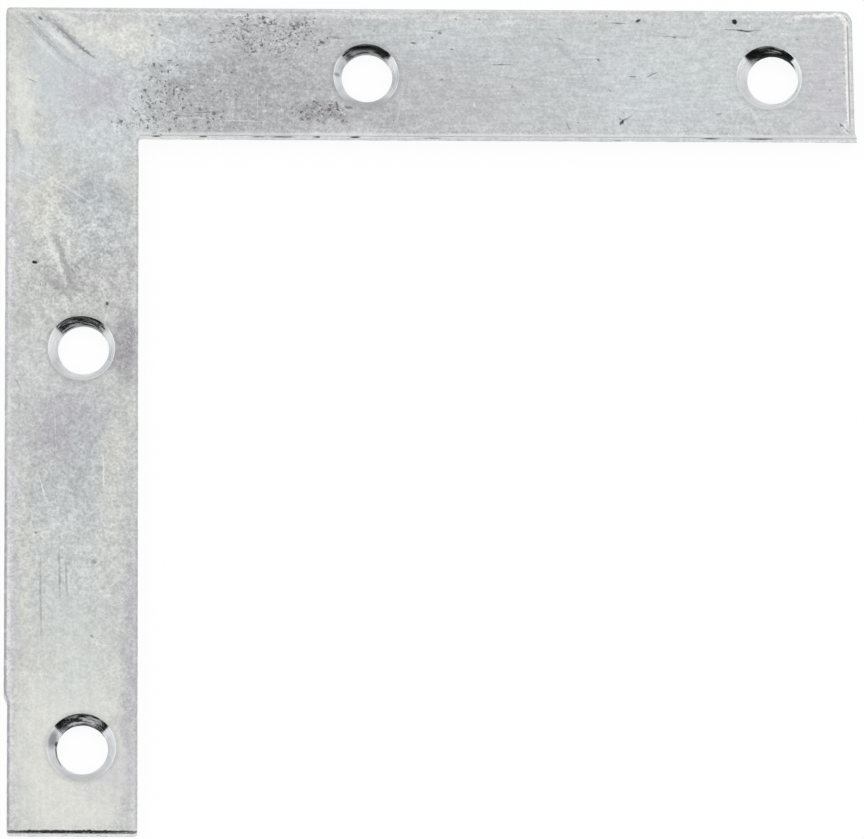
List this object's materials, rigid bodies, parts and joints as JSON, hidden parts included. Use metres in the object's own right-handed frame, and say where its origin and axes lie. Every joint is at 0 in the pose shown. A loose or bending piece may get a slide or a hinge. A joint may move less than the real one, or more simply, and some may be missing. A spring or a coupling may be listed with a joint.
{
  "type": "flat corner brace",
  "caption": "Flat L-shaped corner brace of bright zinc-plated steel, with countersunk screw holes along both arms and worn, speckled plating.",
  "frame": {"origin": "on the back face, where the centre lines of the two arms cross", "axes": "+X along the top arm to its end, -Y along the side arm to its end, +Z out of the countersunk front face; the brace lies flat on its back"},
  "size_m": [0.1005, 0.1, 0.002],
  "materials": {
    "zinc_plated_steel": "bright zinc plating, satin, speckled and scuffed"
  },
  "bodies": {
    "root": {"corner_plate": "zinc_plated_steel"}
  },
  "joints": []
}
